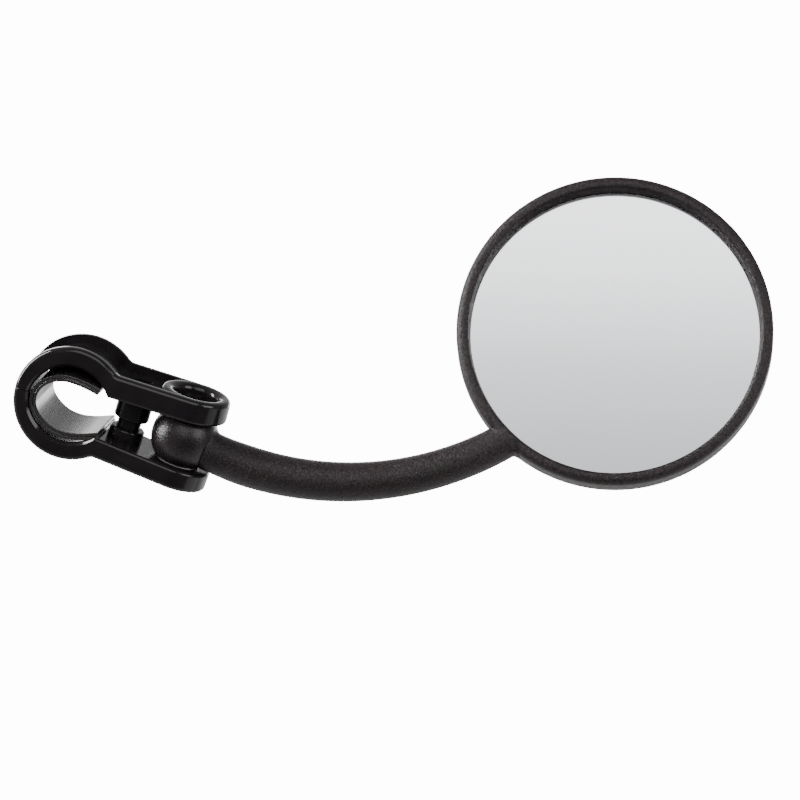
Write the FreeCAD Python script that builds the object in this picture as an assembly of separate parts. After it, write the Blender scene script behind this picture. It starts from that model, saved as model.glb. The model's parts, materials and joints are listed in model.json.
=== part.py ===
import FreeCAD, Part
import math
import os
from FreeCAD import Placement, Rotation, Vector

# Bar-end clamp mirror for a bicycle. Millimetres.
# Origin: centre of the handlebar bore, halfway along it.
# +Y runs along the handlebar, +X from the handlebar to the ball, +Z up through the clamp screw.

os.makedirs("parts", exist_ok=True)

# ---- Clamp ----
CLAMP_WIDTH = 25.0
COLLAR_RADIUS = 20.2
BORE_RADIUS = 14.8
UPPER_BORE_DROP = 1.55
LOWER_BORE_DROP = 1.2
BORE_CHAMFER = 1.2
SPLIT_HEIGHT = -0.7
SPLIT_GAP = 0.16
PLATE_SPLAY = 2.35
UPPER_GAP = 6.5
UPPER_FACE = 14.9
LOWER_GAP = 7.7
LOWER_FACE = 15.0
COLLAR_BLEND = 3.0
OUTER_FILLET = 1.8
INNER_FILLET = 1.2
RIM_WIDTH = 3.0
CHANNEL_DEPTH = 3.2
CHANNEL_START = 4.5
EYE_RADIUS = 7.8
EYE_FILLET = 2.4
SEAT_CLEARANCE = 0.15

# ---- Hinge at the back of the collar ----
HINGE_X = -17.15
KNUCKLE_RADIUS = 2.3
KNUCKLE_CLEARANCE = 0.15
KNUCKLE_HALF = 5.9
EAR_START = 6.1
EAR_END = 9.0
PIN_RADIUS = 1.0
PIN_CLEARANCE = 0.05
PIN_FRONT = -8.8
PIN_REAR = 12.0
SPLIT_RELIEF = 0.45

# ---- Clamp screw, M5 by 20 ----
SCREW_X = 20.5
SCREW_RADIUS = 2.5
SCREW_LENGTH = 20.0
HEAD_RADIUS = 4.25
HEAD_HEIGHT = 5.0
HEAD_FILLET = 0.5
SOCKET_FLATS = 4.0
SOCKET_DEPTH = 2.5
SEAT_HEIGHT = 5.8
SEAT_RADIUS = 5.3
SCREW_HOLE_RADIUS = 3.2
WASHER_RADIUS = 4.5
WASHER_HOLE = 2.65
WASHER_THICKNESS = 1.0
WASHER_LIFT = 0.03
NUT_FLATS = 8.0
NUT_HEIGHT = 4.0
NUT_TOP = -7.8
NUT_PLAY = 0.05
UPPER_BOSS_RADIUS = 6.2
UPPER_BOSS_ROOT = 9.0
UPPER_BOSS_END = -0.6
LOWER_BOSS_RADIUS = 6.2
LOWER_BOSS_ROOT = -10.0
LOWER_BOSS_END = -4.1
SPIGOT_RADIUS = 4.2
SPIGOT_END = 2.0
SOCKET_RADIUS = 4.8
SOCKET_END = 3.0
BOSS_FILLET = 0.8

# ---- Bar shims ----
SHIM_WIDTH = 24.0
OUTER_SHIM_OUTER = 13.15
OUTER_SHIM_INNER = 12.15
INNER_SHIM_OUTER = 12.1
BAR_RADIUS = 11.1
SHIM_GAP_LOW = -33.0
SHIM_GAP_HIGH = 27.0

# ---- Ball and arm ----
BALL_CENTRE = Vector(40.66, 0.0, -0.32)
BALL_RADIUS = 11.9
CAVITY_RADIUS = 3.4
TILT_CORE_OUTER = 3.1
TILT_CORE_INNER = 2.3
SWIVEL_CORE_RADIUS = 2.0
REACH = 154.7
ARM_BEND_RADIUS = 110.3
ARM_DROP = 0.92
ARM_SHIFT = 0.37
ARM_RADIUS_AT_BALL = 7.42
ARM_RADIUS_AT_MIRROR = 6.26
ARM_SECTIONS = 21
NECK_RADIUS = 7.05
NECK_START = 0.075
NECK_END = 0.14
ARM_START = 0.05
ARM_END = 0.71
ROD_RADIUS = 3.0
ROD_START = 0.03
ROD_END = 0.65

# ---- Mirror head, turned about its own axis ----
MIRROR_YAW = 0.75
MIRROR_LEAN = 28.0
CHORD_ROLL = 34.04
FRAME_RADIUS = 55.5
FRAME_HALF_DEPTH = 5.5
FRONT_ROUND = 2.6
BACK_ROUND = 1.5
LIP_RADIUS = 51.2
LIP_ROUND = 1.2
VIEW_RADIUS = 50.6
ARM_TRIM_RADIUS = 51.0
GLASS_FACE = 0.6
GLASS_RADIUS = 52.3
GLASS_THICKNESS = 3.0
GLASS_PLAY = 0.1
SILVER_THICKNESS = 0.2
FOAM_INNER = 43.5
FOAM_OUTER = 51.0
FOAM_THICKNESS = 1.4
COVER_RADIUS = 53.2
COVER_WALL = 2.0
COVER_DOME = 8.0
COVER_STEP = 0.5

UP = Vector(0, 0, 1)
ALONG_BAR = Vector(0, 1, 0)
HALF_WIDTH = CLAMP_WIDTH / 2
CHANNEL_HALF = HALF_WIDTH - RIM_WIDTH
FAR = 60.0
OVERSHOOT = 1.0


def save(shape, node):
    """Write one sub-part to its STEP file and print what a reader checks first."""
    shape.exportStep("parts/" + node + ".step")
    box = shape.BoundBox
    size = "%.1f x %.1f x %.1f" % (box.XLength, box.YLength, box.ZLength)
    print(node, "valid", shape.isValid(), "solids", len(shape.Solids), "volume", round(shape.Volume, 1), size)


def cylinder(radius, start, end, centre=(0.0, 0.0)):
    """Cylinder along Z between two heights."""
    return Part.makeCylinder(radius, end - start, Vector(centre[0], centre[1], start), UP)


def bar_cylinder(radius, start, end, x=0.0, z=0.0):
    """Cylinder along the handlebar direction between two values of Y."""
    return Part.makeCylinder(radius, end - start, Vector(x, start, z), ALONG_BAR)


def box(x_range, y_range, z_range):
    """Box given by its range along each axis."""
    size = (x_range[1] - x_range[0], y_range[1] - y_range[0], z_range[1] - z_range[0])
    return Part.makeBox(size[0], size[1], size[2], Vector(x_range[0], y_range[0], z_range[0]))


def xz_prism(edges, half_length):
    """Solid with an outline in the XZ plane, carried along Y to both sides."""
    face = Part.Face(Part.Wire(edges))
    face.translate(Vector(0, -half_length, 0))
    return face.extrude(Vector(0, 2 * half_length, 0))


def polyline(points):
    """Straight edges from each point to the next one."""
    return [Part.makeLine(first, second) for first, second in zip(points, points[1:])]


def hexagon(flats, start, end, x):
    """Hexagonal prism along Z, by its width across flats."""
    corner = flats / math.sqrt(3)
    angles = [math.radians(60 * step) for step in range(7)]
    points = [Vector(x + corner * math.cos(a), corner * math.sin(a), start) for a in angles]
    return Part.Face(Part.makePolygon(points)).extrude(Vector(0, 0, end - start))


def revolved(edges, centre=Vector(0, 0, 0)):
    """Solid of revolution about a vertical axis from an outline in the XZ plane."""
    return Part.Face(Part.Wire(edges)).revolve(centre, UP, 360)


# ---- Jaws, drawn as the upper one, with the plate along +X ----

def side_outline(collar, gap, face, blend, half_length):
    """Collar and plate seen along the bar, with a concave blend between their outer faces."""
    blend_x = math.sqrt((collar + blend) ** 2 - (face + blend) ** 2)
    blend_centre = Vector(blend_x, 0, face + blend)
    on_collar = Vector(blend_centre.x, 0, blend_centre.z) * (collar / (collar + blend))
    on_plate = Vector(blend_x, 0, face)
    towards_middle = (on_collar + on_plate) / 2 - blend_centre
    middle = blend_centre + towards_middle.normalize() * blend
    corners = [on_plate, Vector(FAR, 0, face), Vector(FAR, 0, gap), Vector(0, 0, gap)]
    corners += [Vector(0, 0, 0), on_collar]
    plate = xz_prism([Part.Arc(on_collar, middle, on_plate).toShape()] + polyline(corners), half_length)
    disc = bar_cylinder(collar, -half_length, half_length)
    return disc.fuse(plate).removeSplitter()


def plan_outline():
    """The jaw seen from above: straight sides and a round end about the ball."""
    straight = box((-FAR, BALL_CENTRE.x), (-HALF_WIDTH, HALF_WIDTH), (-FAR, FAR))
    return straight.fuse(cylinder(HALF_WIDTH, -FAR, FAR, (BALL_CENTRE.x, 0))).removeSplitter()


def edge_points(edge):
    """Three points along an edge, clear of its ends."""
    first, last = edge.ParameterRange
    return [edge.valueAt(first + share * (last - first)) for share in (0.1, 0.5, 0.9)]


def on_rim(p):
    """True for a point on the jaw's flat sides or on its round end."""
    on_side = abs(abs(p.y) - HALF_WIDTH) < 0.01
    on_end = abs(math.hypot(p.x - BALL_CENTRE.x, p.y) - HALF_WIDTH) < 0.01 and p.x > BALL_CENTRE.x
    return on_side or on_end


def is_outer_edge(edge, face, blend):
    """True for the edges where the jaw's outer surface meets its sides and its round end."""
    blend_x = math.sqrt((COLLAR_RADIUS + blend) ** 2 - (face + blend) ** 2)
    for p in edge_points(edge):
        on_collar = abs(math.hypot(p.x, p.z) - COLLAR_RADIUS) < 0.01
        on_face = abs(p.z - face) < 0.01
        on_blend = abs(math.hypot(p.x - blend_x, p.z - face - blend) - blend) < 0.01
        if not (on_rim(p) and (on_collar or on_face or on_blend)):
            return False
    return True


def is_inner_edge(edge, gap):
    """True for the edges where the plate's inner face meets its sides and its round end."""
    return all(on_rim(p) and abs(p.z - gap) < 0.01 for p in edge_points(edge))


def eye_cutter(gap, face):
    """Round hole over the ball, with a full round at its mouth."""
    low = Vector(0, 0, gap - OVERSHOOT)
    wall_low = Vector(EYE_RADIUS, 0, gap - OVERSHOOT)
    wall_high = Vector(EYE_RADIUS, 0, face - EYE_FILLET)
    mouth = Vector(EYE_RADIUS + EYE_FILLET, 0, face)
    centre = Vector(EYE_RADIUS + EYE_FILLET, 0, face - EYE_FILLET)
    bend = centre + Vector(-1, 0, 1).normalize() * EYE_FILLET
    above = Vector(mouth.x, 0, face + OVERSHOOT)
    axis_top = Vector(0, 0, face + OVERSHOOT)
    edges = polyline([low, wall_low, wall_high]) + [Part.Arc(wall_high, bend, mouth).toShape()]
    edges += polyline([mouth, above, axis_top, low])
    cutter = revolved(edges)
    cutter.translate(Vector(BALL_CENTRE.x, 0, 0))
    return cutter


def channel_cutter(gap, face):
    """Recess along the outside between the two rims, stopping short of the hinge and the eye."""
    floor = side_outline(COLLAR_RADIUS - CHANNEL_DEPTH, gap, face - CHANNEL_DEPTH,
                         COLLAR_BLEND + CHANNEL_DEPTH, CHANNEL_HALF + OVERSHOOT)
    eye_boss = cylinder(HALF_WIDTH, 0, face, (BALL_CENTRE.x, 0))
    top_edges = [edge for edge in eye_boss.Edges if is_level_edge(edge, face)]
    eye_boss = eye_boss.makeFillet(OUTER_FILLET, top_edges)
    slot = box((-FAR, BALL_CENTRE.x), (-CHANNEL_HALF, CHANNEL_HALF), (CHANNEL_START, FAR))
    return slot.cut(floor).cut(eye_boss)


def plain_jaw(gap, face, bore_drop):
    """One jaw in its own frame: collar half, channelled plate and eye.

    The bore is less than half a circle: its centre lies past the split by bore_drop.
    """
    body = side_outline(COLLAR_RADIUS, gap, face, COLLAR_BLEND, HALF_WIDTH + OVERSHOOT)
    body = body.common(plan_outline())
    below_split = box((-FAR, 0), (-FAR, FAR), (-FAR, SPLIT_GAP / 2))
    below_plate = box((0, FAR), (-FAR, FAR), (-FAR, gap))
    body = body.cut(below_split).cut(below_plate)
    edges = [edge for edge in body.Edges if is_outer_edge(edge, face, COLLAR_BLEND)]
    body = body.makeFillet(OUTER_FILLET, edges)
    body = body.makeFillet(INNER_FILLET, [edge for edge in body.Edges if is_inner_edge(edge, gap)])
    body = body.cut(bar_cylinder(BORE_RADIUS, -FAR, FAR, 0.0, -bore_drop))
    for side in (-1, 1):
        mouth = Part.makeCone(BORE_RADIUS + BORE_CHAMFER, BORE_RADIUS, BORE_CHAMFER,
                              Vector(0, side * HALF_WIDTH, -bore_drop), Vector(0, -side, 0))
        body = body.cut(mouth)
    body = body.cut(channel_cutter(gap, face))
    return body.cut(eye_cutter(gap, face))


def turned(shape, angle):
    """Turn a jaw about the handlebar axis."""
    shape.rotate(Vector(0, 0, 0), ALONG_BAR, angle)
    return shape


def ball_seat():
    """Hollow that the ball sits in."""
    return Part.makeSphere(BALL_RADIUS + SEAT_CLEARANCE, BALL_CENTRE)


def knuckle(start, end, extra=0.0):
    """Hinge barrel along the split line."""
    return bar_cylinder(KNUCKLE_RADIUS + extra, start, end, HINGE_X, SPLIT_HEIGHT)


def ears(extra, play):
    """The lower jaw's two hinge barrels, one each side of the upper jaw's."""
    front = knuckle(-EAR_END - play, -EAR_START + play, extra)
    rear = knuckle(EAR_START - play, EAR_END + play, extra)
    return front.fuse(rear)


def pin_hole(radius):
    """Hole for the hinge pin, open at the rear so that the pin can be pressed in."""
    return bar_cylinder(radius, PIN_FRONT, FAR, HINGE_X, SPLIT_HEIGHT)


def is_level_edge(edge, height):
    """True for an edge that lies wholly at one height."""
    return all(abs(p.z - height) < 0.01 for p in edge_points(edge))


def rounded_boss(radius, start, end, rounded_at):
    """Boss about the screw, with its free edge rounded."""
    boss = cylinder(radius, start, end, (SCREW_X, 0))
    return boss.makeFillet(BOSS_FILLET, [edge for edge in boss.Edges if is_level_edge(edge, rounded_at)])


def make_upper_jaw():
    """Upper jaw: takes the screw head, and turns on the hinge pin with its middle knuckle."""
    jaw = turned(plain_jaw(UPPER_GAP, UPPER_FACE, UPPER_BORE_DROP), -PLATE_SPLAY)
    jaw = jaw.cut(box((-FAR, 0), (-FAR, FAR), (-FAR, SPLIT_HEIGHT + SPLIT_GAP / 2)))
    jaw = jaw.fuse(rounded_boss(UPPER_BOSS_RADIUS, UPPER_BOSS_END, UPPER_BOSS_ROOT, UPPER_BOSS_END))
    jaw = jaw.fuse(knuckle(-KNUCKLE_HALF, KNUCKLE_HALF))
    jaw = jaw.cut(cylinder(SEAT_RADIUS, SEAT_HEIGHT, FAR, (SCREW_X, 0)))
    jaw = jaw.cut(cylinder(SCREW_HOLE_RADIUS, -FAR, FAR, (SCREW_X, 0)))
    jaw = jaw.cut(cylinder(SOCKET_RADIUS, -FAR, SOCKET_END, (SCREW_X, 0)))
    jaw = jaw.cut(ears(KNUCKLE_CLEARANCE, KNUCKLE_CLEARANCE))
    jaw = jaw.cut(pin_hole(PIN_RADIUS + PIN_CLEARANCE))
    return jaw.cut(ball_seat()).removeSplitter()


def make_lower_jaw():
    """Lower jaw: holds the nut, the hinge pin and the spigot that guides the upper jaw."""
    jaw = plain_jaw(LOWER_GAP, LOWER_FACE, LOWER_BORE_DROP).mirror(Vector(0, 0, 0), UP)
    jaw = turned(jaw, PLATE_SPLAY)
    jaw = jaw.cut(box((-FAR, 0), (-FAR, FAR), (SPLIT_HEIGHT - SPLIT_GAP / 2, FAR)))
    jaw = jaw.fuse(rounded_boss(LOWER_BOSS_RADIUS, LOWER_BOSS_ROOT, LOWER_BOSS_END, LOWER_BOSS_END))
    jaw = jaw.fuse(rounded_boss(SPIGOT_RADIUS, LOWER_BOSS_ROOT, SPIGOT_END, SPIGOT_END))
    jaw = jaw.fuse(ears(0.0, 0.0))
    jaw = jaw.cut(hexagon(NUT_FLATS + 2 * NUT_PLAY, -FAR, NUT_TOP, SCREW_X))
    jaw = jaw.cut(cylinder(WASHER_HOLE, -FAR, FAR, (SCREW_X, 0)))
    jaw = jaw.cut(knuckle(-EAR_START, EAR_START, KNUCKLE_CLEARANCE))
    jaw = jaw.cut(pin_hole(PIN_RADIUS))
    return jaw.cut(split_relief()).cut(ball_seat()).removeSplitter()


def split_relief():
    """Bevel on the lower jaw outside the hinge, where the upper jaw dips as it opens."""
    top = SPLIT_HEIGHT - SPLIT_GAP / 2
    near = Vector(HINGE_X, 0, top)
    corners = [near, Vector(HINGE_X, 0, 0), Vector(-FAR, 0, 0)]
    corners.append(Vector(-COLLAR_RADIUS, 0, top - SPLIT_RELIEF))
    return xz_prism(polyline(corners + [near]), FAR)


# ---- Hinge pin and fasteners ----

def make_hinge_pin():
    return bar_cylinder(PIN_RADIUS, PIN_FRONT, PIN_REAR, HINGE_X, SPLIT_HEIGHT)


def make_screw():
    """M5 socket head cap screw, its thread left plain."""
    under_head = SEAT_HEIGHT + WASHER_LIFT + WASHER_THICKNESS
    top = under_head + HEAD_HEIGHT
    head = cylinder(HEAD_RADIUS, under_head, top, (SCREW_X, 0))
    head = head.makeFillet(HEAD_FILLET, [edge for edge in head.Edges if is_level_edge(edge, top)])
    head = head.cut(hexagon(SOCKET_FLATS, top - SOCKET_DEPTH, top + OVERSHOOT, SCREW_X))
    shank = cylinder(SCREW_RADIUS, under_head - SCREW_LENGTH, under_head, (SCREW_X, 0))
    return head.fuse(shank).removeSplitter()


def make_washer():
    low = SEAT_HEIGHT + WASHER_LIFT
    ring = cylinder(WASHER_RADIUS, low, low + WASHER_THICKNESS, (SCREW_X, 0))
    return ring.cut(cylinder(WASHER_HOLE, -FAR, FAR, (SCREW_X, 0)))


def make_nut():
    """Hexagon nut in the lower jaw's pocket, its thread left plain."""
    nut = hexagon(NUT_FLATS, NUT_TOP - NUT_HEIGHT, NUT_TOP, SCREW_X)
    return nut.cut(cylinder(SCREW_RADIUS + NUT_PLAY, -FAR, FAR, (SCREW_X, 0)))


def make_shim(inner, outer):
    """Split liner between the jaws and the handlebar, open towards the screw."""
    ring = bar_cylinder(outer, -SHIM_WIDTH / 2, SHIM_WIDTH / 2)
    ring = ring.cut(bar_cylinder(inner, -FAR, FAR))
    low = math.radians(SHIM_GAP_LOW)
    high = math.radians(SHIM_GAP_HIGH)
    corners = [Vector(0, 0, 0), Vector(FAR * math.cos(low), 0, FAR * math.sin(low))]
    corners.append(Vector(FAR * math.cos(high), 0, FAR * math.sin(high)))
    return ring.cut(xz_prism(polyline(corners + [corners[0]]), FAR))


# ---- Ball, arm and mirror head, drawn with X from ball to mirror and Z out of the glass ----

def arm_centre():
    """Centre of the arm's bend, above the line from the ball to the mirror."""
    rise = math.sqrt(ARM_BEND_RADIUS ** 2 - (REACH / 2) ** 2)
    return Vector(REACH / 2 + ARM_SHIFT, rise - ARM_DROP, 0)


HALF_SWEEP = math.degrees(math.asin(REACH / 2 / ARM_BEND_RADIUS))


def bend_point(share):
    """Point and direction on the arm's bend, from 0 at the ball to 1 at the mirror's centre."""
    angle = math.radians(-90 - HALF_SWEEP + 2 * HALF_SWEEP * share)
    outward = Vector(math.cos(angle), math.sin(angle), 0)
    return arm_centre() + outward * ARM_BEND_RADIUS, Vector(-outward.y, outward.x, 0)


def arm_radius(share):
    """Radius along the bend: a slow taper, drawn in to a neck next to the ball."""
    taper = (share - ARM_START) / (ARM_END - ARM_START)
    full = ARM_RADIUS_AT_BALL + taper * (ARM_RADIUS_AT_MIRROR - ARM_RADIUS_AT_BALL)
    t = min(max((share - NECK_START) / (NECK_END - NECK_START), 0.0), 1.0)
    return NECK_RADIUS + (full - NECK_RADIUS) * t * t * (3 - 2 * t)


def make_arm_bar():
    """Round bar along the bend, from inside the ball to the mirror's rim."""
    circles = []
    for step in range(ARM_SECTIONS):
        share = ARM_START + step / (ARM_SECTIONS - 1) * (ARM_END - ARM_START)
        centre, direction = bend_point(share)
        circles.append(Part.Wire(Part.Edge(Part.Circle(centre, direction, arm_radius(share)))))
    return Part.makeLoft(circles, True, False)


def make_rod():
    """Steel rod inside the arm: a round bar bent to the arm's radius."""
    start, direction = bend_point(ROD_START)
    circle = Part.Wire(Part.Edge(Part.Circle(start, direction, ROD_RADIUS)))
    sweep = 2 * HALF_SWEEP * (ROD_END - ROD_START)
    return Part.Face(circle).revolve(arm_centre(), UP, sweep)


def arc_edge(start, centre, end):
    """Shorter arc from start to end about a centre, in the XZ plane."""
    radius = (start - centre).Length
    middle = centre + ((start + end) / 2 - centre).normalize() * radius
    return Part.Arc(start, middle, end).toShape()


def xz(x, z):
    return Vector(x, 0, z)


def make_frame_ring():
    """Round mirror frame: bullnose rim, sloping lip, glass pocket and cover recess."""
    front = FRAME_HALF_DEPTH
    glass_back = GLASS_FACE - GLASS_THICKNESS
    lip_top = xz(LIP_RADIUS + LIP_ROUND, front)
    lip_low = xz(LIP_RADIUS, front - LIP_ROUND)
    front_in = xz(FRAME_RADIUS - FRONT_ROUND, front)
    front_out = xz(FRAME_RADIUS, front - FRONT_ROUND)
    back_out = xz(FRAME_RADIUS, BACK_ROUND - front)
    back_in = xz(FRAME_RADIUS - BACK_ROUND, -front)
    edges = [arc_edge(lip_low, xz(LIP_RADIUS + LIP_ROUND, front - LIP_ROUND), lip_top)]
    edges += polyline([lip_top, front_in])
    edges.append(arc_edge(front_in, xz(FRAME_RADIUS - FRONT_ROUND, front - FRONT_ROUND), front_out))
    edges += polyline([front_out, back_out])
    edges.append(arc_edge(back_out, xz(FRAME_RADIUS - BACK_ROUND, BACK_ROUND - front), back_in))
    pocket = GLASS_RADIUS + GLASS_PLAY
    inner = [back_in, xz(COVER_RADIUS + GLASS_PLAY, -front), xz(COVER_RADIUS + GLASS_PLAY, glass_back)]
    inner += [xz(pocket, glass_back), xz(pocket, GLASS_FACE), xz(VIEW_RADIUS, GLASS_FACE), lip_low]
    edges += polyline(inner)
    ring = revolved(edges)
    ring.translate(Vector(REACH, 0, 0))
    return ring


def head_disc(radius, low, high, hole=0.0):
    """Disc about the mirror's axis, with an optional hole."""
    disc = cylinder(radius, low, high, (REACH, 0))
    if hole > 0:
        disc = disc.cut(cylinder(hole, low - OVERSHOOT, high + OVERSHOOT, (REACH, 0)))
    return disc


def make_mirror_frame():
    """Arm and round frame moulded in one piece over the steel rod."""
    arm = make_arm_bar()
    arm = arm.cut(Part.makeSphere(BALL_RADIUS))
    arm = arm.cut(cylinder(ARM_TRIM_RADIUS, -FAR, FAR, (REACH, 0)))
    pocket = head_disc(GLASS_RADIUS + GLASS_PLAY, -FAR, GLASS_FACE)
    recess = head_disc(COVER_RADIUS + GLASS_PLAY, -FAR, GLASS_FACE - GLASS_THICKNESS)
    frame = make_frame_ring().fuse(arm.cut(pocket).cut(recess))
    return frame.cut(make_rod()).removeSplitter()


def make_ball():
    """Ball pressed on the rod's end, hollow at the centre."""
    ball = Part.makeSphere(BALL_RADIUS)
    return ball.cut(Part.makeSphere(CAVITY_RADIUS)).cut(make_rod())


def make_back_cover():
    """Domed back, with a flange ring that holds the glass pad."""
    front = GLASS_FACE - GLASS_THICKNESS - SILVER_THICKNESS - FOAM_THICKNESS
    back = -FRAME_HALF_DEPTH
    rise = (COVER_RADIUS ** 2 + COVER_DOME ** 2) / (2 * COVER_DOME)
    outer_centre = xz(0, back - COVER_DOME + rise)
    outer_low = xz(0, back - COVER_DOME)
    inner_low = xz(0, back - COVER_DOME + COVER_WALL)
    inner_radius = rise - COVER_WALL
    step_radius = FOAM_INNER - COVER_STEP
    step_z = outer_centre.z - math.sqrt(inner_radius ** 2 - step_radius ** 2)
    rim_low = xz(COVER_RADIUS, back)
    step_low = xz(step_radius, step_z)
    edges = [arc_edge(outer_low, outer_centre, rim_low)]
    edges += polyline([rim_low, xz(COVER_RADIUS, front), xz(step_radius, front), step_low])
    edges.append(arc_edge(step_low, outer_centre, inner_low))
    edges += polyline([inner_low, outer_low])
    cover = revolved(edges)
    cover.translate(Vector(REACH, 0, 0))
    return cover


def head_placement():
    """Where the ball, arm and mirror stand at rest, about the ball's centre."""
    roll = Rotation(Vector(0, 0, 1), CHORD_ROLL)
    upright = Rotation(Vector(1, 0, 0), 90 - MIRROR_LEAN)
    yaw = Rotation(Vector(0, 0, 1), MIRROR_YAW)
    return Placement(BALL_CENTRE, yaw.multiply(upright).multiply(roll))


HEAD_PLACE = head_placement()


def placed(shape):
    """Copy of a head piece at its rest position."""
    copy = shape.copy()
    copy.Placement = HEAD_PLACE.multiply(copy.Placement)
    return copy


def main():
    save(make_lower_jaw(), "lower_jaw")
    save(make_upper_jaw(), "upper_jaw")
    save(make_hinge_pin(), "hinge_pin")
    save(make_screw(), "clamp_screw")
    save(make_washer(), "screw_washer")
    save(make_nut(), "screw_nut")
    save(make_shim(OUTER_SHIM_INNER, OUTER_SHIM_OUTER), "outer_bar_shim")
    save(make_shim(BAR_RADIUS, INNER_SHIM_OUTER), "inner_bar_shim")
    glass_back = GLASS_FACE - GLASS_THICKNESS
    silver_back = glass_back - SILVER_THICKNESS
    head_pieces = {
        "pivot_ball": make_ball(),
        "ball_swivel_core": Part.makeSphere(SWIVEL_CORE_RADIUS),
        "ball_tilt_core": Part.makeSphere(TILT_CORE_OUTER).cut(Part.makeSphere(TILT_CORE_INNER)),
        "arm_core_rod": make_rod(),
        "mirror_frame": make_mirror_frame(),
        "mirror_glass": head_disc(GLASS_RADIUS, glass_back, GLASS_FACE),
        "mirror_silvering": head_disc(GLASS_RADIUS, silver_back, glass_back),
        "foam_ring": head_disc(FOAM_OUTER, silver_back - FOAM_THICKNESS, silver_back, FOAM_INNER),
        "back_cover": make_back_cover(),
    }
    for node, shape in head_pieces.items():
        save(placed(shape), node)
    mirror_centre = HEAD_PLACE.multVec(Vector(REACH, 0, 0))
    stem = HEAD_PLACE.Rotation.multVec(bend_point(0)[1])
    print("mirror centre", mirror_centre, "stem direction", stem)


main()
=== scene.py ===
import json
import math

import bmesh
import bpy
from mathutils import Matrix, Vector, noise


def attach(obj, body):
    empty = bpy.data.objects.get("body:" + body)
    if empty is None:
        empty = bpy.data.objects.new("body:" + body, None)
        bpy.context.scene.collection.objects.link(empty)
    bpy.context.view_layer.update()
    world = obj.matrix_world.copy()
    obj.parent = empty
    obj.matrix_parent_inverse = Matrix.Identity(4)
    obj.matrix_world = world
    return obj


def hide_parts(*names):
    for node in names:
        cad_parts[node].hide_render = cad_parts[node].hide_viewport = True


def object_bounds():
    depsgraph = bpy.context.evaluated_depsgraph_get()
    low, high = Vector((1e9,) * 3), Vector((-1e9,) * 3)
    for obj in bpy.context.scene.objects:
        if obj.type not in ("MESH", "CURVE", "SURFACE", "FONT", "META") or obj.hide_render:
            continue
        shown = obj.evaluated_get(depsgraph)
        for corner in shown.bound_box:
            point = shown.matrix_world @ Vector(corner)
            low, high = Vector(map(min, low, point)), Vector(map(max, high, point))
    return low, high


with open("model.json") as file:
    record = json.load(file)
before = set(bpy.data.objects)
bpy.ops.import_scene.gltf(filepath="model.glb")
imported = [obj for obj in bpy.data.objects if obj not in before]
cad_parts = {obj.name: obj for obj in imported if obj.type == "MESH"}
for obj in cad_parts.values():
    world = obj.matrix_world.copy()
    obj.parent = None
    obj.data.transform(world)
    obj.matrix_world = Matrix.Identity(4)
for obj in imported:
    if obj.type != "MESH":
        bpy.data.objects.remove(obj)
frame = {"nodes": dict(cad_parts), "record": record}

# Bicycle mirror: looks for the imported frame. Metres, in the frame's own axes:
# +Y along the handlebar, +X from the handlebar to the ball, +Z up through the clamp screw.

CAD_LOW, CAD_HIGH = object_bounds()
MM = 0.001

# ---- Head of the mirror: ball, arm and round frame, in a plane that leans back ----
BALL_CENTRE = Vector((0.04066, 0.0, -0.00032))
BALL_RADIUS = 11.9 * MM
REACH = 154.7 * MM
MIRROR_YAW = math.radians(0.75)
MIRROR_LEAN = math.radians(28.0)
CHORD_ROLL = math.radians(34.04)
ARM_BEND_RADIUS = 110.3 * MM
ARM_DROP = 0.92 * MM
ARM_SHIFT = 0.37 * MM
ARM_RADIUS_AT_BALL = 7.42 * MM
ARM_RADIUS_AT_MIRROR = 6.26 * MM
ARM_START = 0.05  # shares of the bend, from the ball's centre to the mirror's
ARM_END = 0.71
NECK_RADIUS = 7.05 * MM
NECK_START = 0.075
NECK_END = 0.14
FRAME_RADIUS = 55.47 * MM
FRAME_HALF_DEPTH = 5.5 * MM
FRONT_ROUND = 2.6 * MM
BACK_ROUND = 1.5 * MM
LIP_RADIUS = 51.2 * MM
LIP_ROUND = 1.2 * MM
VIEW_RADIUS = 50.6 * MM
GLASS_FACE = 0.6 * MM
POCKET_RADIUS = 52.4 * MM
COVER_SEAT_RADIUS = 53.3 * MM
GLASS_BACK = -2.4 * MM
GLASS_RADIUS = 52.3 * MM
SILVER_LAP = 0.03 * MM  # the coat reaches this far into the glass, so that they share no face
SILVER_FRONT = GLASS_BACK + SILVER_LAP
SILVER_BACK = -2.6 * MM
SILVER_RADIUS = 52.2 * MM
FOAM_BACK = -4.0 * MM
FOAM_INNER = 43.5 * MM
FOAM_OUTER = 51.0 * MM
COVER_RADIUS = 53.2 * MM
COVER_WALL = 2.0 * MM
COVER_DOME = 8.0 * MM
COVER_STEP_RADIUS = 43.0 * MM
ARM_END_RADIUS = 52.1 * MM
ARM_HIDDEN_RADIUS = 54.4 * MM
ARM_WALL_TOP = 3.6 * MM
BALL_BLEND = 2.2 * MM
SOCKET_REACH = 14.5 * MM
SOCKET_FLOOR = -9.5 * MM
RIM_BLEND = 1.6 * MM
UPPER_RIM_BLEND_SHARE = 0.3
DISC_EDGE = 0.05 * MM
BALL_GRAIN = 0.06 * MM
BALL_GRAIN_ROOM = 0.05 * MM
BALL_GRAIN_COARSE = 38.0
BALL_GRAIN_FINE = 80.0
BALL_GRAIN_SHARES = (0.6, 0.4)

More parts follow.
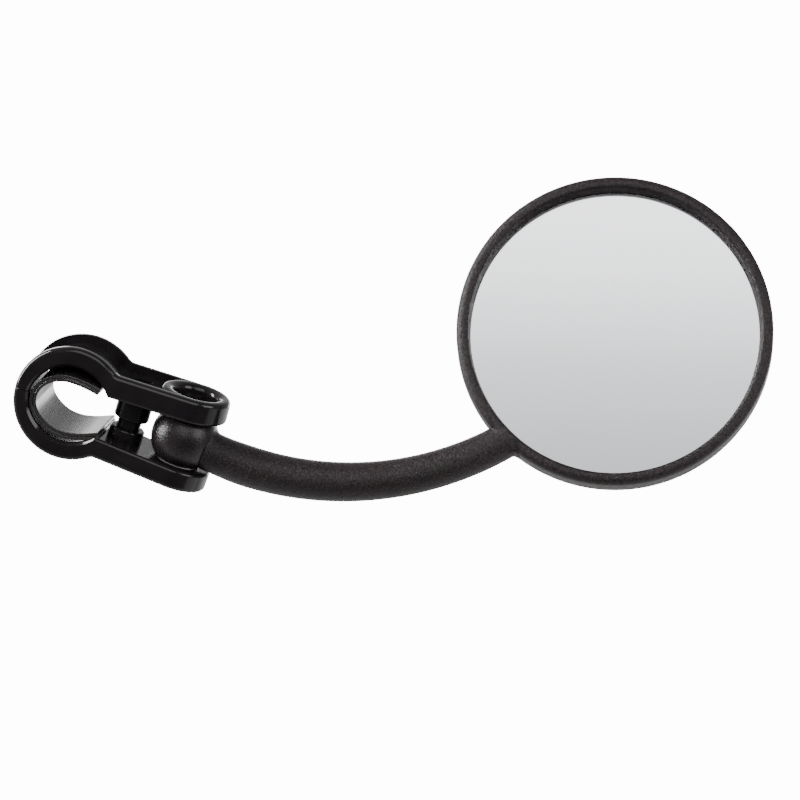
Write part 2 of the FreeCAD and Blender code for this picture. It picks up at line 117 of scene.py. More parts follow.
# ---- Meshing ----
TURN_STEPS = 192
FRAME_STEPS = 288
ARM_STEPS = 330
ARM_AROUND = 96
COVER_OUTER_STEPS = 32
COVER_INNER_STEPS = 24
BALL_SUBDIVISIONS = 7
BEVEL_STEPS = 3
WELD = 0.002 * MM
FLAT_ANGLE = math.radians(0.6)
SHARP_ANGLE = 0.6  # radians
SOFT_SHADE_ANGLE = 40.0  # degrees, as the three below
TURNED_SHADE_ANGLE = 35.0
DISC_SHADE_ANGLE = 20.0
BALL_SHADE_ANGLE = 80.0
ARM_END_SEARCH = (0.5, 0.9)
ARM_END_HALVINGS = 40

# ---- Camera ----
CAMERA_RIGHT = Vector((0.93290, 0.20799, 0.29399))
CAMERA_UP = Vector((-0.33801, 0.22406, 0.91408))
CAMERA_TOWARDS = Vector((0.12425, -0.95212, 0.27933))
CAMERA_DISTANCE = 3.0
PICTURE_WIDTH = 0.280
SENSOR_WIDTH = 36.0
AIM_RIGHT = 0.11302
AIM_UP = -0.00125


# ---- Materials ----

class Shader:
    """A node material with a Principled shader and short calls for its procedural detail."""

    def __init__(self, name, colour, roughness, **sockets):
        self.material = bpy.data.materials.new(name)
        self.material.use_nodes = True
        self.tree = self.material.node_tree
        self.shader = self.tree.nodes["Principled BSDF"]
        self.shader.inputs["Base Color"].default_value = (*colour, 1.0)
        self.shader.inputs["Roughness"].default_value = roughness
        for socket, value in sockets.items():
            self.shader.inputs[socket.replace("_", " ")].default_value = value
        self.place = self.tree.nodes.new("ShaderNodeTexCoord").outputs["Object"]

    def noise(self, scale, detail=4.0, roughness=0.5, stretch=None):
        """Noise in the object's own space; scale is in bumps per metre."""
        node = self.tree.nodes.new("ShaderNodeTexNoise")
        node.inputs["Scale"].default_value = scale
        node.inputs["Detail"].default_value = detail
        node.inputs["Roughness"].default_value = roughness
        source = self.place
        if stretch is not None:
            mapping = self.tree.nodes.new("ShaderNodeMapping")
            mapping.inputs["Scale"].default_value = stretch
            self.tree.links.new(self.place, mapping.inputs["Vector"])
            source = mapping.outputs["Vector"]
        self.tree.links.new(source, node.inputs["Vector"])
        return node.outputs["Fac"]

    def cells(self, scale):
        """Cell pattern in the object's own space, for grain and pebbling."""
        node = self.tree.nodes.new("ShaderNodeTexVoronoi")
        node.inputs["Scale"].default_value = scale
        self.tree.links.new(self.place, node.inputs["Vector"])
        return node.outputs["Distance"]

    def ramp(self, source, low, high, start, end):
        """Map a value between start and end to the range low to high."""
        node = self.tree.nodes.new("ShaderNodeMapRange")
        node.inputs["From Min"].default_value = start
        node.inputs["From Max"].default_value = end
        node.inputs["To Min"].default_value = low
        node.inputs["To Max"].default_value = high
        self.tree.links.new(source, node.inputs["Value"])
        return node.outputs["Result"]

    def vary_colour(self, source, dark, light, start=0.3, end=0.7):
        """Base colour between dark and light, by a pattern."""
        node = self.tree.nodes.new("ShaderNodeValToRGB")
        node.color_ramp.elements[0].position = start
        node.color_ramp.elements[0].color = (*dark, 1.0)
        node.color_ramp.elements[1].position = end
        node.color_ramp.elements[1].color = (*light, 1.0)
        self.tree.links.new(source, node.inputs["Fac"])
        self.tree.links.new(node.outputs["Color"], self.shader.inputs["Base Color"])

    def vary_roughness(self, source, low, high, start=0.3, end=0.7):
        """Roughness between low and high, by a pattern."""
        result = self.ramp(source, low, high, start, end)
        self.tree.links.new(result, self.shader.inputs["Roughness"])

    def bump(self, source, height):
        """Surface relief of the given height in metres."""
        node = self.tree.nodes.new("ShaderNodeBump")
        node.inputs["Strength"].default_value = 1.0
        node.inputs["Distance"].default_value = height
        self.tree.links.new(source, node.inputs["Height"])
        self.tree.links.new(node.outputs["Normal"], self.shader.inputs["Normal"])


def jaw_plastic():
    """Glossy moulded black nylon, with faint orange peel and handling marks."""
    m = Shader("jaw_plastic", (0.013, 0.012, 0.0125), 0.14, IOR=1.5)
    m.vary_colour(m.noise(140.0), (0.0110, 0.0088, 0.0105), (0.0180, 0.0148, 0.0168))
    m.vary_roughness(m.noise(420.0, 6.0, 0.6), 0.10, 0.22, 0.35, 0.75)
    m.bump(m.noise(900.0, 2.0), 0.00002)
    return m.material


def ball_plastic():
    """Pebbled grip coat on the ball."""
    m = Shader("ball_plastic", (0.02, 0.019, 0.02), 0.42)
    m.vary_colour(m.noise(1700.0, 4.0, 0.7), (0.009, 0.0070, 0.0080), (0.036, 0.029, 0.031), 0.35, 0.65)
    m.vary_roughness(m.noise(2600.0, 4.0, 0.7), 0.18, 0.32)
    m.bump(m.noise(1500.0, 3.0, 0.6), 0.00014)
    return m.material


def arm_plastic():
    """Matte plastic with a fine spark-eroded grain."""
    m = Shader("arm_plastic", (0.022, 0.019, 0.019), 0.5)
    m.vary_colour(m.noise(1500.0, 3.0, 0.6), (0.004, 0.0025, 0.0029), (0.044, 0.0295, 0.0325), 0.38, 0.64)
    m.vary_roughness(m.noise(1900.0, 3.0, 0.6), 0.30, 0.56)
    m.bump(m.noise(1700.0, 3.0, 0.7), 0.00026)
    return m.material


def shim_plastic():
    """Satin grey-black liner, drawn lengthwise."""
    m = Shader("shim_plastic", (0.030, 0.027, 0.026), 0.24, IOR=1.9)
    m.vary_colour(m.noise(900.0, 4.0, 0.6, (1.0, 0.06, 1.0)), (0.018, 0.016, 0.016), (0.044, 0.040, 0.039))
    m.vary_roughness(m.noise(1100.0, 4.0, 0.6, (1.0, 0.05, 1.0)), 0.17, 0.31)
    m.bump(m.noise(1500.0, 3.0, 0.6, (1.0, 0.1, 1.0)), 0.00001)
    return m.material


def black_steel():
    """Black oxide on turned steel, worn bright here and there."""
    m = Shader("black_steel", (0.03, 0.03, 0.032), 0.35, Metallic=1.0)
    m.vary_colour(m.noise(900.0, 6.0, 0.7), (0.02, 0.02, 0.022), (0.16, 0.155, 0.15), 0.45, 0.85)
    m.vary_roughness(m.noise(1300.0, 5.0, 0.6), 0.24, 0.42)
    m.bump(m.noise(2600.0, 2.0), 0.00002)
    return m.material


def zinc_steel():
    """Bright zinc plate with a slight haze."""
    m = Shader("zinc_steel", (0.55, 0.55, 0.54), 0.28, Metallic=1.0)
    m.vary_colour(m.noise(600.0, 5.0, 0.6), (0.42, 0.42, 0.42), (0.66, 0.66, 0.64))
    m.vary_roughness(m.noise(1500.0, 5.0, 0.7), 0.18, 0.36)
    m.bump(m.noise(2200.0, 3.0), 0.00001)
    return m.material


def clear_glass():
    """Clear float glass, with the faintest unevenness in its tint."""
    m = Shader("clear_glass", (0.985, 0.99, 0.99), 0.0, IOR=1.5, Transmission_Weight=1.0)
    m.vary_colour(m.noise(60.0, 6.0, 0.7), (0.980, 0.985, 0.985), (0.990, 0.993, 0.993))
    return m.material


def silvering():
    """Mirror coating behind the glass."""
    m = Shader("silvering", (0.87, 0.885, 0.915), 0.0, Metallic=1.0)
    m.vary_colour(m.noise(35.0, 3.0), (0.866, 0.881, 0.911), (0.872, 0.887, 0.917))
    return m.material


def foam():
    """Soft open-celled tape."""
    m = Shader("foam", (0.05, 0.05, 0.05), 0.9)
    m.vary_colour(m.cells(2500.0), (0.02, 0.02, 0.02), (0.07, 0.07, 0.07), 0.0, 0.8)
    m.bump(m.cells(2500.0), 0.0002)
    return m.material


MATERIALS = {
    "jaw_plastic": jaw_plastic(),
    "ball_plastic": ball_plastic(),
    "arm_plastic": arm_plastic(),
    "shim_plastic": shim_plastic(),
    "black_steel": black_steel(),
    "zinc_steel": zinc_steel(),
    "clear_glass": clear_glass(),
    "silvering": silvering(),
    "foam": foam(),
}
SLOT_OF = {part["node"]: part["material_slot"] for part in frame["record"]["subparts"]}


# ---- Pieces ----

def finish_node(node):
    """Give a CAD node that stays in view its finish."""
    mesh = frame["nodes"][node].data
    mesh.materials.clear()
    mesh.materials.append(MATERIALS[SLOT_OF[node]])


def add_piece(name, mesh, node, body):
    """A shown piece that stands for a CAD node and rides on its body."""
    piece = bpy.data.objects.new(name, mesh)
    bpy.context.scene.collection.objects.link(piece)
    mesh.materials.clear()
    mesh.materials.append(MATERIALS[SLOT_OF[node]])
    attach(piece, body)
    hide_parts(node)
    return piece


def smooth_shaded(mesh, sharp_angle=SOFT_SHADE_ANGLE):
    """Smooth shading everywhere but at edges sharper than the angle in degrees."""
    mesh.polygons.foreach_set("use_smooth", [True] * len(mesh.polygons))
    mesh.set_sharp_from_angle(angle=math.radians(sharp_angle))
    mesh.update()


def weighted(piece):
    """Keep flat faces flat next to small rounded edges."""
    modifier = piece.modifiers.new("flat faces", "WEIGHTED_NORMAL")
    modifier.keep_sharp = True


def at_socket(edge):
    """True for an edge of the lower plate's inner face close to the ball."""
    middle = (edge.verts[0].co + edge.verts[1].co) / 2
    return (middle - BALL_CENTRE).length < SOCKET_REACH and middle.z > SOCKET_FLOOR


def softened(node, body, name, radius, sharp_socket=False):
    """A hard part with its sharp edges given a small round, as moulding and turning leave it."""
    mesh = frame["nodes"][node].data.copy()
    bm = bmesh.new()
    bm.from_mesh(mesh)
    bmesh.ops.remove_doubles(bm, verts=bm.verts, dist=WELD)
    bmesh.ops.dissolve_limit(bm, angle_limit=FLAT_ANGLE, verts=bm.verts, edges=bm.edges)
    sharp = [edge for edge in bm.edges if len(edge.link_faces) == 2 and edge.calc_face_angle() > SHARP_ANGLE]
    if sharp_socket:
        sharp = [edge for edge in sharp if not at_socket(edge)]
    bmesh.ops.bevel(bm, geom=sharp, offset=radius, segments=BEVEL_STEPS, profile=0.5, affect="EDGES",
                    clamp_overlap=True, loop_slide=True)
    bm.to_mesh(mesh)
    bm.free()
    smooth_shaded(mesh)
    weighted(add_piece(name, mesh, node, body))


# ---- Head frame: X from ball to mirror, Z out of the glass ----

HEAD = (Matrix.Translation(BALL_CENTRE) @ Matrix.Rotation(MIRROR_YAW, 4, "Z")
        @ Matrix.Rotation(math.pi / 2 - MIRROR_LEAN, 4, "X") @ Matrix.Rotation(CHORD_ROLL, 4, "Z"))
HALF_SWEEP = math.asin(REACH / 2 / ARM_BEND_RADIUS)
BEND_RISE = math.sqrt(ARM_BEND_RADIUS ** 2 - (REACH / 2) ** 2)
BEND_CENTRE = Vector((REACH / 2 + ARM_SHIFT, BEND_RISE - ARM_DROP, 0.0))


def bend_point(share):
    """Point and direction on the arm's bend, from 0 at the ball to 1 at the mirror's centre."""
    angle = -math.pi / 2 - HALF_SWEEP + 2 * HALF_SWEEP * share
    spoke = Vector((math.cos(angle), math.sin(angle), 0.0))
    return BEND_CENTRE + spoke * ARM_BEND_RADIUS, Vector((-spoke.y, spoke.x, 0.0))


def arc(centre, radius, start, end, steps):
    """Points of a circular arc between two angles in degrees."""
    angles = [math.radians(start + (end - start) * i / steps) for i in range(steps + 1)]
    return [(centre[0] + radius * math.cos(a), centre[1] + radius * math.sin(a)) for a in angles]


def frame_outline():
    """Cross-section of the round frame as radius and height, going round from the lip."""
    front = FRAME_HALF_DEPTH
    points = arc((LIP_RADIUS + LIP_ROUND, front - LIP_ROUND), LIP_ROUND, 180, 90, 6)
    points += arc((FRAME_RADIUS - FRONT_ROUND, front - FRONT_ROUND), FRONT_ROUND, 90, 0, 10)
    points += arc((FRAME_RADIUS - BACK_ROUND, BACK_ROUND - front), BACK_ROUND, 0, -90, 6)
    points += [(COVER_SEAT_RADIUS, -front), (COVER_SEAT_RADIUS, GLASS_BACK), (POCKET_RADIUS, GLASS_BACK)]
    points += [(POCKET_RADIUS, GLASS_FACE), (VIEW_RADIUS, GLASS_FACE)]
    return points


def turned_ring(bm, outline, centre, steps):
    """Revolve a closed outline about the vertical through the centre."""
    rings = []
    for i in range(steps):
        a = 2 * math.pi * i / steps
        section = [Vector((r * math.cos(a), r * math.sin(a), z)) for r, z in outline]
        rings.append([bm.verts.new(centre + point) for point in section])
    for i, ring in enumerate(rings):
        following = rings[(i + 1) % steps]
        for j in range(len(outline)):
            k = (j + 1) % len(outline)
            bm.faces.new((ring[j], following[j], following[k], ring[k]))


def arm_radius(share):
    """Radius along the bend: a slow taper, drawn in to a neck next to the ball."""
    taper = (share - ARM_START) / (ARM_END - ARM_START)
    full = ARM_RADIUS_AT_BALL + taper * (ARM_RADIUS_AT_MIRROR - ARM_RADIUS_AT_BALL)
    t = min(max((share - NECK_START) / (NECK_END - NECK_START), 0.0), 1.0)
    return NECK_RADIUS + (full - NECK_RADIUS) * t * t * (3 - 2 * t)


def make_disc(node, name, radius, low, high, hole=0.0):
    """Flat round sheet or ring about the mirror's axis, its edges barely broken."""
    inside = radius - DISC_EDGE
    outline = [(inside, low), (radius, low + DISC_EDGE), (radius, high - DISC_EDGE), (inside, high)]
    bm = bmesh.new()
    if hole > 0:
        turned_ring(bm, outline + [(hole, high), (hole, low)], Vector((REACH, 0, 0)), TURN_STEPS)
    else:
        rings = []
        for r, z in outline:
            circle = arc((REACH, 0.0), r, 0, 360, TURN_STEPS)[:-1]
            rings.append([bm.verts.new((x, y, z)) for x, y in circle])
        for ring, following in zip(rings, rings[1:]):
            for j in range(len(ring)):
                k = (j + 1) % len(ring)
                bm.faces.new((ring[j], ring[k], following[k], following[j]))
        bm.faces.new(list(reversed(rings[0])))
        bm.faces.new(rings[-1])
    bm.transform(HEAD)
    mesh = mesh_of(bm, name)
    smooth_shaded(mesh, DISC_SHADE_ANGLE)
    add_piece(name, mesh, node, "mirror_head")


def make_cover():
    """Domed back with its flange, turned about the mirror's axis."""
    sphere = (COVER_RADIUS ** 2 + COVER_DOME ** 2) / (2 * COVER_DOME)
    middle = (0.0, sphere - FRAME_HALF_DEPTH - COVER_DOME)
    rim = math.degrees(math.asin(COVER_RADIUS / sphere)) - 90
    step = math.degrees(math.asin(COVER_STEP_RADIUS / (sphere - COVER_WALL))) - 90
    outline = arc(middle, sphere, -90, rim, COVER_OUTER_STEPS)
    outline += [(COVER_RADIUS, FOAM_BACK), (COVER_STEP_RADIUS, FOAM_BACK)]
    outline += arc(middle, sphere - COVER_WALL, step, -90, COVER_INNER_STEPS)
    bm = bmesh.new()
    turned_ring(bm, outline, Vector((REACH, 0, 0)), TURN_STEPS)
    bmesh.ops.remove_doubles(bm, verts=bm.verts, dist=WELD)
    bmesh.ops.delete(bm, geom=[edge for edge in bm.edges if edge.is_wire], context="EDGES")
    bm.transform(HEAD)
    mesh = mesh_of(bm, "cover_turned")
    smooth_shaded(mesh, TURNED_SHADE_ANGLE)
    add_piece("cover_turned", mesh, "back_cover", "mirror_head")


def arc_rise(short, radius):
    """Rise of a fillet's arc above its tangent line, a short way past the tangent point."""
    return radius - math.sqrt(radius ** 2 - short ** 2)


def ball_fillet(point, axis):
    """How far the fillet between the ball and the arm stands off the arm at a point of its skin."""
    along = point.dot(axis)
    from_axis = (point - axis * along).length
    start = math.sqrt((BALL_RADIUS + BALL_BLEND) ** 2 - (from_axis + BALL_BLEND) ** 2)
    landing = start * BALL_RADIUS / (BALL_RADIUS + BALL_BLEND)
    return arc_rise(max(start - max(along, landing), 0.0), BALL_BLEND)


def arm_point(share, angle):
    """Point on the arm's skin, with its fillets to the ball and to the frame."""
    centre, direction = bend_point(share)
    side = direction.cross(Vector((0, 0, 1)))
    away = side * math.cos(angle) + Vector((0, 0, 1)) * math.sin(angle)
    point = centre + away * arm_radius(share)
    from_frame = math.hypot(point.x - REACH, point.y) - FRAME_RADIUS
    in_plane = math.cos(angle)
    size = RIM_BLEND * in_plane ** 2 * (1.0 if in_plane > 0 else UPPER_RIM_BLEND_SHARE)
    rise = arc_rise(size - min(max(from_frame, 0.0), size), size)
    if share < NECK_END:
        rise += ball_fillet(point, bend_point(ARM_START)[1])
    return point + away * rise


def arm_end(angle):
    """Share of the bend at which one line of the arm's skin ends, at the lip or inside the frame."""
    high = bend_point(ARM_END)[0].z + math.sin(angle) * ARM_RADIUS_AT_MIRROR
    target = ARM_END_RADIUS if high > ARM_WALL_TOP else ARM_HIDDEN_RADIUS
    near, far = ARM_END_SEARCH
    for _ in range(ARM_END_HALVINGS):
        share = (near + far) / 2
        point = arm_point(share, angle)
        if math.hypot(point.x - REACH, point.y) > target:
            near = share
        else:
            far = share
    return share


def arm_tube(bm, steps, around):
    """The arm as a round tube along its bend, trimmed to the frame and closed at both ends."""
    angles = [2 * math.pi * j / around for j in range(around)]
    ends = [arm_end(angle) for angle in angles]
    rings = []
    for i in range(steps + 1):
        shares = [ARM_START + i / steps * (end - ARM_START) for end in ends]
        rings.append([bm.verts.new(arm_point(share, angle)) for share, angle in zip(shares, angles)])
    foot = [Vector((v.co.x, v.co.y, min(v.co.z, ARM_WALL_TOP))) for v in rings[-1]]
    rings.append([bm.verts.new(point) for point in foot])
    for ring, following in zip(rings, rings[1:]):
        for j in range(around):
            k = (j + 1) % around
            bm.faces.new((ring[j], ring[k], following[k], following[j]))
    for ring in (rings[0], rings[-1]):
        middle = bm.verts.new(sum((v.co for v in ring), Vector()) / around)
        for j in range(around):
            bm.faces.new((ring[j], ring[(j + 1) % around], middle))
    bmesh.ops.remove_doubles(bm, verts=bm.verts, dist=WELD)


def outward(bm):
    """Turn every face to look out of the solid."""
    bmesh.ops.recalc_face_normals(bm, faces=bm.faces)


def mesh_of(bm, name):
    """Finish a bmesh into a mesh."""
    outward(bm)
    mesh = bpy.data.meshes.new(name)
    bm.to_mesh(mesh)
    bm.free()
    return mesh


def make_frame_and_arm():
    """Arm and frame as one moulding."""
    bm = bmesh.new()
    turned_ring(bm, frame_outline(), Vector((REACH, 0, 0)), FRAME_STEPS)
    bm.transform(HEAD)
    ring = mesh_of(bm, "frame_ring")
    smooth_shaded(ring, TURNED_SHADE_ANGLE)
    add_piece("frame_moulding", ring, "mirror_frame", "mirror_head")
    bm = bmesh.new()
    arm_tube(bm, ARM_STEPS, ARM_AROUND)
    bm.transform(HEAD)
    arm = mesh_of(bm, "arm_tube")
    smooth_shaded(arm, TURNED_SHADE_ANGLE)
    add_piece("arm_moulding", arm, "mirror_frame", "mirror_head")


def make_ball():
    """The ball, with pebbling in its surface."""
    bm = bmesh.new()
    bmesh.ops.create_icosphere(bm, subdivisions=BALL_SUBDIVISIONS, radius=BALL_RADIUS)
    coarse, fine = BALL_GRAIN_SHARES
    for vert in bm.verts:
        unit = vert.co.normalized()
        grain = noise.noise(unit * BALL_GRAIN_COARSE) * coarse + noise.noise(unit * BALL_GRAIN_FINE) * fine
        vert.co = unit * (BALL_RADIUS - BALL_GRAIN_ROOM + grain * BALL_GRAIN)
    bm.transform(Matrix.Translation(BALL_CENTRE))
    mesh = mesh_of(bm, "ball")
    smooth_shaded(mesh, BALL_SHADE_ANGLE)
    add_piece("ball", mesh, "pivot_ball", "mirror_head")


# ---- Bar liners, as they rest off the handlebar: flattened on top, one end on the lower jaw's corner ----

# Points of the liners' inner face in X and Z, in millimetres
LINER_POINTS = [(8.8, 6.5), (5.0, 7.1), (0.0, 7.4), (-4.4, 6.9), (-8.6, 4.7), (-11.2, 1.2), (-11.4, -3.0),
                (-9.0, -6.7), (-4.1, -9.5), (1.0, -10.1), (6.5, -8.9), (12.8, -6.2)]
LINER_HALF_WIDTH = 12.0 * MM
LINER_THICKNESS = 1.1 * MM
LINER_PLAY = 0.22 * MM
LINER_ROUND = 0.2 * MM
LINER_STEPS = 12
LINER_REAR_LIFT = 1.0 * MM
LINER_FLARE_HEIGHT = 5.0 * MM
BORE_RADIUS = 14.8 * MM
UPPER_BORE_DROP = 1.55 * MM
BORE_PLAY = 0.1 * MM


def smooth_path(points, steps):
    """Points along a Catmull-Rom curve through the given ones."""
    ends = [points[0] * 2 - points[1]] + points + [points[-1] * 2 - points[-2]]
    path = []
    for a, b, c, d in zip(ends, ends[1:], ends[2:], ends[3:]):
        for i in range(steps):
            t = i / steps
            path.append(0.5 * (2 * b + (c - a) * t + (2 * a - 5 * b + 4 * c - d) * t ** 2
                               + (3 * b - a - 3 * c + d) * t ** 3))
    return path + [points[-1]]


def room_above(point, away):
    """Distance from a point to the upper jaw's bore, going outwards."""
    start = point + Vector((0.0, UPPER_BORE_DROP))
    ahead = start.dot(away)
    return math.sqrt(ahead ** 2 + (BORE_RADIUS - BORE_PLAY) ** 2 - start.length_squared) - ahead


def make_liner(node, name, offset, flared=False):
    """One liner: a strip bent along the path; a flared one leans on the upper bore at its rear."""
    path = smooth_path([Vector(p) * MM for p in LINER_POINTS], LINER_STEPS)
    inner, outer, inner_rear, outer_rear = [], [], [], []
    for i, p in enumerate(path):
        along = (path[min(i + 1, len(path) - 1)] - path[max(i - 1, 0)]).normalized()
        away = Vector((along.y, -along.x))
        inner.append(p + away * offset)
        outer.append(p + away * (offset + LINER_THICKNESS))
        flare = min(max(p.y / LINER_FLARE_HEIGHT, 0.0), 1.0) if flared else 0.0
        shift = Vector((0.0, LINER_REAR_LIFT * (1.0 - flare)))
        if flare > 0:
            shift += away * room_above(outer[-1], away) * flare
        inner_rear.append(inner[-1] + shift)
        outer_rear.append(outer[-1] + shift)
    bm = bmesh.new()
    front = [bm.verts.new((p.x, -LINER_HALF_WIDTH, p.y)) for p in inner + outer[::-1]]
    rear = [bm.verts.new((p.x, LINER_HALF_WIDTH, p.y)) for p in inner_rear + outer_rear[::-1]]
    count = len(front)
    for i in range(count):
        k = (i + 1) % count
        bm.faces.new((front[i], front[k], rear[k], rear[i]))
    half = len(inner)
    for side in (front, rear):
        for i in range(half - 1):
            bm.faces.new((side[i], side[i + 1], side[count - 2 - i], side[count - 1 - i]))
    outward(bm)
    sharp = [edge for edge in bm.edges if edge.calc_face_angle() > SHARP_ANGLE]
    bmesh.ops.bevel(bm, geom=sharp, offset=LINER_ROUND, segments=BEVEL_STEPS, profile=0.5,
                    affect="EDGES")
    mesh = mesh_of(bm, name)
    smooth_shaded(mesh)
    weighted(add_piece(name, mesh, node, "lower_jaw"))


softened("lower_jaw", "lower_jaw", "lower_jaw_moulding", 0.18 * MM, sharp_socket=True)
softened("upper_jaw", "upper_jaw", "upper_jaw_moulding", 0.3 * MM)
softened("clamp_screw", "clamp_screw", "clamp_screw_turned", 0.2 * MM)
softened("screw_washer", "washer", "screw_washer_turned", 0.15 * MM)
softened("screw_nut", "lower_jaw", "screw_nut_turned", 0.2 * MM)
softened("hinge_pin", "lower_jaw", "hinge_pin_turned", 0.15 * MM)
make_liner("inner_bar_shim", "inner_liner", 0.0)
make_liner("outer_bar_shim", "outer_liner", LINER_THICKNESS + LINER_PLAY, flared=True)
make_ball()
make_frame_and_arm()
make_disc("mirror_glass", "glass_disc", GLASS_RADIUS, GLASS_BACK, GLASS_FACE)
make_disc("mirror_silvering", "silver_coat", SILVER_RADIUS, SILVER_BACK, SILVER_FRONT)
make_disc("foam_ring", "foam_tape", FOAM_OUTER, FOAM_BACK, SILVER_BACK, FOAM_INNER)
make_cover()
for kept in ("arm_core_rod", "ball_swivel_core", "ball_tilt_core"):
    finish_node(kept)


# ---- Stage: floor, backdrop, lights and camera ----

def glowing(name, strength):
    """A material that only gives off light; its emission node is called glow."""
    material = bpy.data.materials.new(name)
    material.use_nodes = True
    tree = material.node_tree
    tree.nodes.clear()
    output = tree.nodes.new("ShaderNodeOutputMaterial")
    emission = tree.nodes.new("ShaderNodeEmission")
    emission.name = "glow"
    emission.inputs["Strength"].default_value = strength
    tree.links.new(emission.outputs["Emission"], output.inputs["Surface"])
    return material


def seen_by_camera_only(thing):
    """Show in the picture without lighting the object."""
    thing.visible_diffuse = False
    thing.visible_glossy = False
    thing.visible_transmission = False
    thing.visible_shadow = False


FLOOR_HALF_SIZE = 6.0
FLOOR_SHIFT = 0.1
FLOOR_GAP = 0.04
DOME_RADIUS = 8.0
STAGE_WHITE = 14.0
PANEL_HALF_SIZE = 0.1
PANEL_DISTANCE = 0.7
PANEL_DIRECTION = (-0.068, 0.442, 0.893)
PANEL_FADE = 0.08
PANEL_STRENGTH = 3.3
PANEL_FOOT = 0.28
PANEL_TOP = 0.94
PANEL_BETWEEN = ((0.3, 0.365), (0.5, 0.51), (0.7, 0.74))
WALL_LIGHT = 0.45
WALL_SPAN = (0.4, -0.9)
TABLE_LIGHT = 0.5
TABLE_SPAN = (0.0, 0.6)
TABLE_TURN = 0.6
FRONT_LIGHT = 0.1


def make_backdrop():
    """White sweep: a floor under the object and a dome round it."""
    bm = bmesh.new()
    bmesh.ops.create_grid(bm, x_segments=8, y_segments=8, size=FLOOR_HALF_SIZE)
    floor = bpy.data.objects.new("floor", mesh_of(bm, "floor"))
    floor.location = (FLOOR_SHIFT, 0.0, CAD_LOW.z - FLOOR_GAP)
    bm = bmesh.new()
    bmesh.ops.create_uvsphere(bm, u_segments=48, v_segments=24, radius=DOME_RADIUS)
    dome = bpy.data.objects.new("backdrop", mesh_of(bm, "backdrop"))
    white = glowing("stage_white", STAGE_WHITE)
    for thing in (floor, dome):
        bpy.context.scene.collection.objects.link(thing)
        thing.data.materials.append(white)
        seen_by_camera_only(thing)


def camera_space(right, up, towards):
    """Direction given relative to the picture."""
    return CAMERA_RIGHT * right + CAMERA_UP * up + CAMERA_TOWARDS * towards


def softbox(name, direction, distance, size, power):
    """Area light aimed at the object."""
    light = bpy.data.lights.new(name, "AREA")
    light.shape = "RECTANGLE"
    light.size, light.size_y = size
    light.energy = power
    lamp = bpy.data.objects.new(name, light)
    bpy.context.scene.collection.objects.link(lamp)
    middle = (CAD_LOW + CAD_HIGH) / 2
    lamp.location = middle + direction.normalized() * distance
    lamp.rotation_euler = direction.to_track_quat("Z", "Y").to_euler()
    lamp.visible_camera = False


def make_panel():
    """Near panel that the mirror shows: bright at its top, fading to its foot."""
    towards = camera_space(*PANEL_DIRECTION).normalized()
    bm = bmesh.new()
    bmesh.ops.create_grid(bm, x_segments=1, y_segments=1, size=PANEL_HALF_SIZE)
    panel = bpy.data.objects.new("gradient_panel", mesh_of(bm, "gradient_panel"))
    bpy.context.scene.collection.objects.link(panel)
    across = CAMERA_UP.cross(towards).normalized()
    turn = Matrix((across, towards.cross(across), towards)).transposed().to_4x4()
    mirror_centre = HEAD @ Vector((REACH, 0.0, 0.0))
    panel.matrix_world = Matrix.Translation(mirror_centre + towards * PANEL_DISTANCE) @ turn
    material = glowing("panel_fade", PANEL_STRENGTH)
    tree = material.node_tree
    place = tree.nodes.new("ShaderNodeTexCoord")
    split = tree.nodes.new("ShaderNodeSeparateXYZ")
    height = tree.nodes.new("ShaderNodeMapRange")
    height.inputs["From Min"].default_value = -PANEL_FADE
    height.inputs["From Max"].default_value = PANEL_FADE
    fade = tree.nodes.new("ShaderNodeValToRGB")
    fade.color_ramp.interpolation = "CARDINAL"
    fade.color_ramp.elements[0].color = (PANEL_FOOT, PANEL_FOOT, PANEL_FOOT, 1.0)
    fade.color_ramp.elements[1].color = (PANEL_TOP, PANEL_TOP, PANEL_TOP, 1.0)
    for position, value in PANEL_BETWEEN:
        fade.color_ramp.elements.new(position).color = (value, value, value, 1.0)
    tree.links.new(place.outputs["Object"], split.inputs["Vector"])
    tree.links.new(split.outputs["Y"], height.inputs["Value"])
    tree.links.new(height.outputs["Result"], fade.inputs["Fac"])
    tree.links.new(fade.outputs["Color"], tree.nodes["glow"].inputs["Color"])
    panel.data.materials.append(material)
    panel.visible_camera = False
    panel.visible_diffuse = False
    panel.visible_shadow = False


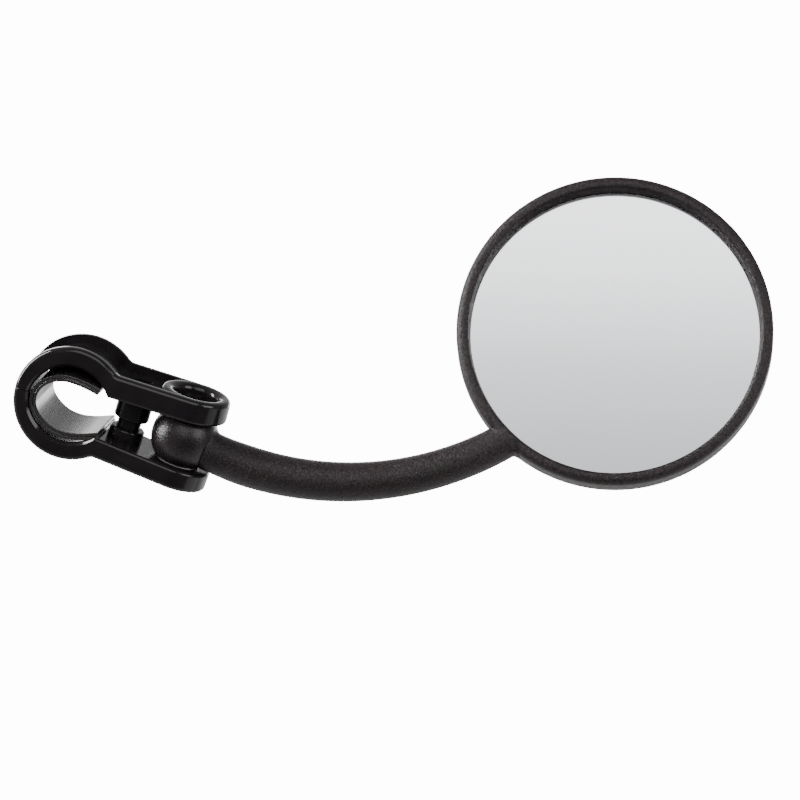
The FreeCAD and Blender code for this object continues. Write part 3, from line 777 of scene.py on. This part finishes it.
def make_world():
    """White table below, pale wall behind, and little light from the front."""
    world = bpy.data.worlds.new("studio")
    bpy.context.scene.world = world
    world.use_nodes = True
    tree = world.node_tree
    place = tree.nodes.new("ShaderNodeTexCoord")
    levels = []
    table = -Vector((0, 0, 1)) - CAMERA_TOWARDS * TABLE_TURN
    for axis, (start, end), low, high in ((CAMERA_TOWARDS, WALL_SPAN, 0.0, WALL_LIGHT),
                                          (table, TABLE_SPAN, FRONT_LIGHT, TABLE_LIGHT)):
        facing = tree.nodes.new("ShaderNodeVectorMath")
        facing.operation = "DOT_PRODUCT"
        facing.inputs[1].default_value = axis
        level = tree.nodes.new("ShaderNodeMapRange")
        level.inputs["From Min"].default_value = start
        level.inputs["From Max"].default_value = end
        level.inputs["To Min"].default_value = low
        level.inputs["To Max"].default_value = high
        tree.links.new(place.outputs["Generated"], facing.inputs[0])
        tree.links.new(facing.outputs["Value"], level.inputs["Value"])
        levels.append(level.outputs["Result"])
    total = tree.nodes.new("ShaderNodeMath")
    total.operation = "ADD"
    tree.links.new(levels[0], total.inputs[0])
    tree.links.new(levels[1], total.inputs[1])
    tree.links.new(total.outputs["Value"], tree.nodes["Background"].inputs["Strength"])
    tree.nodes["Background"].inputs["Color"].default_value = (1.0, 1.0, 1.0, 1.0)


def make_lights():
    """Soft studio lights round the object, and the panel that the mirror shows."""
    softbox("softbox_left", camera_space(-0.9, 0.41, 0.08), 1.2, (0.24, 1.0), 24.0)
    softbox("softbox_right", camera_space(0.73, 0.2, 0.65), 1.4, (0.8, 0.8), 7.0)
    softbox("softbox_side", Vector((0.95, -0.12, -0.28)), 1.2, (0.9, 0.9), 1.3)
    softbox("softbox_top", camera_space(-0.07, 0.44, 0.89), 1.2, (0.9, 0.9), 4.2)
    softbox("softbox_back", camera_space(0.067, 0.21, -0.936), 1.2, (1.8, 0.36), 8.0)
    softbox("softbox_low", Vector((0.6, 0.75, -0.28)), 1.2, (1.2, 0.35), 0.6)
    make_panel()


def make_camera():
    """Camera at the photograph's viewing angle."""
    data = bpy.data.cameras.new("camera")
    data.sensor_width = SENSOR_WIDTH
    data.lens = SENSOR_WIDTH * CAMERA_DISTANCE / PICTURE_WIDTH
    data.clip_start = 0.01
    data.clip_end = 30.0
    camera = bpy.data.objects.new("camera", data)
    bpy.context.scene.collection.objects.link(camera)
    aim = CAMERA_RIGHT * AIM_RIGHT + CAMERA_UP * AIM_UP
    turn = Matrix((CAMERA_RIGHT, CAMERA_UP, CAMERA_TOWARDS)).transposed().to_4x4()
    camera.matrix_world = Matrix.Translation(aim + CAMERA_TOWARDS * CAMERA_DISTANCE) @ turn
    bpy.context.scene.camera = camera


make_backdrop()
make_world()
make_lights()
make_camera()
